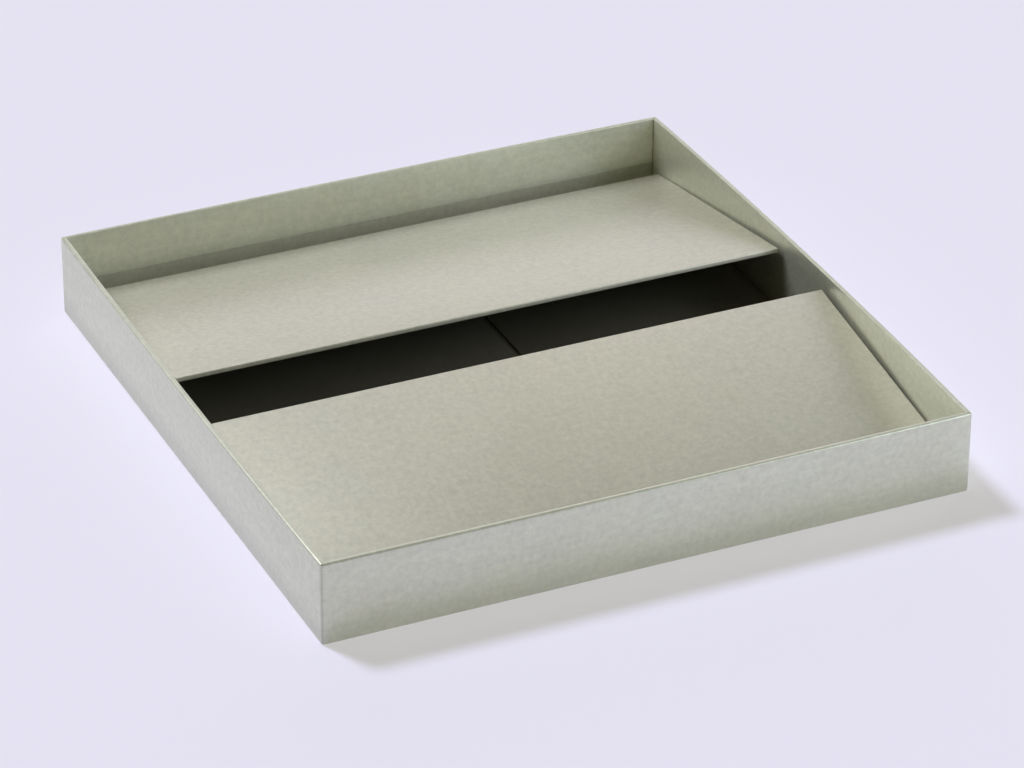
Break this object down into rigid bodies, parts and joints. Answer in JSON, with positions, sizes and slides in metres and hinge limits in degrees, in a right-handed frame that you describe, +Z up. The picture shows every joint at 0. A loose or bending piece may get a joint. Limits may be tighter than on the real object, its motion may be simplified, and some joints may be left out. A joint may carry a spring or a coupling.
{
  "type": "gift box tray",
  "caption": "Shallow square rigid gift box tray in pearl paper, with inner flaps on paper hinges that open like doors over a dark lined compartment.",
  "frame": {"origin": "middle of the underside, on the surface that the tray stands on", "axes": "+Z up, +X to the right along the front wall, +Y from the front wall to the back wall"},
  "size_m": [0.3, 0.309, 0.0385],
  "materials": {
    "pearl_paper": "satin pearl paper over greyboard",
    "flap_paper": "satin pearl paper over greyboard",
    "hinge_paper": "satin pearl paper",
    "dark_lining": "matt black paper over thin board"
  },
  "bodies": {
    "tray": {"tray": "pearl_paper", "left_pad": "dark_lining", "right_pad": "dark_lining", "far_hinge": "hinge_paper", "near_hinge": "hinge_paper"},
    "far_flap": {"far_flap": "flap_paper"},
    "near_flap": {"near_flap": "flap_paper"}
  },
  "joints": [
    {"name": "far_flap_hinge", "type": "hinge", "parent": "tray", "child": "far_flap", "pos_m": [0.001, 0.1447, 0.0104], "axis": [-1, 0, 0], "range_deg": [-12, 90]},
    {"name": "near_flap_hinge", "type": "hinge", "parent": "tray", "child": "near_flap", "pos_m": [0.001, -0.1447, 0.0104], "axis": [1, 0, 0], "range_deg": [-12, 90]}
  ]
}
